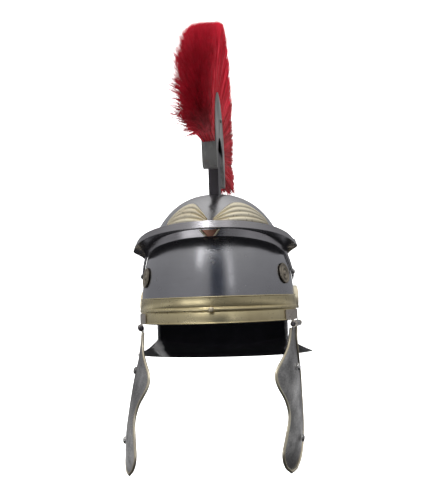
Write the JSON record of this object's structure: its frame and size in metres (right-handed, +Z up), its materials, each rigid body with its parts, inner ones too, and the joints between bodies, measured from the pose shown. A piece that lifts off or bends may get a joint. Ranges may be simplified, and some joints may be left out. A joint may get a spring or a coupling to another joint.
{
  "type": "roman legionary helmet",
  "caption": "Steel legionary helmet with brass trim, brow guard, neck guard, hinged cheek guards and a tall red fore-and-aft crest.",
  "frame": {"origin": "middle of the bowl's mouth, level with the bottom of the brow rim, where the helmet sits on a head", "axes": "+Z up the crest, -Y to the front, +X to the wearer's left"},
  "size_m": [0.2621, 0.3603, 0.6028],
  "materials": {
    "polished_steel": "polished, with fine brushing and a few stains",
    "dark_steel": "darkened, satin",
    "brass": "polished, slightly tarnished",
    "aged_brass": "aged brown with dark recesses",
    "bristle": "matte red bristle"
  },
  "bodies": {
    "helmet": {"bowl": "polished_steel", "brow_band": "brass", "brow_guard": "polished_steel", "brow_rivet": "brass", "brow_tip": "brass", "crest_box": "polished_steel", "crest_plume": "bristle", "crest_post": "dark_steel", "crest_rivet_left": "polished_steel", "crest_rivet_right": "polished_steel", "ear_guard_left": "brass", "ear_guard_right": "brass", "eyebrow_left": "brass", "eyebrow_right": "brass", "hinge_leaf_left": "polished_steel", "hinge_leaf_right": "polished_steel", "hinge_pin_left": "dark_steel", "hinge_pin_right": "dark_steel", "peak_rivet_left": "polished_steel", "peak_rivet_right": "polished_steel", "rosette_left": "aged_brass", "rosette_right": "aged_brass"},
    "cheek_left": {"cheek_guard_left": "polished_steel", "cheek_edging_left": "brass", "upper_boss_left": "polished_steel", "lower_boss_left": "polished_steel"},
    "cheek_right": {"cheek_guard_right": "polished_steel", "cheek_edging_right": "brass", "upper_boss_right": "polished_steel", "lower_boss_right": "polished_steel"}
  },
  "joints": [
    {"name": "cheek_hinge_left", "type": "hinge", "parent": "helmet", "child": "cheek_left", "pos_m": [0.10306, -0.02902, -0.005], "axis": [-0.2146, -0.9767, 0], "range_deg": [-10, 107]},
    {"name": "cheek_hinge_right", "type": "hinge", "parent": "helmet", "child": "cheek_right", "pos_m": [-0.10306, -0.02902, -0.005], "axis": [-0.2146, 0.9767, 0], "range_deg": [-19, 98]}
  ]
}
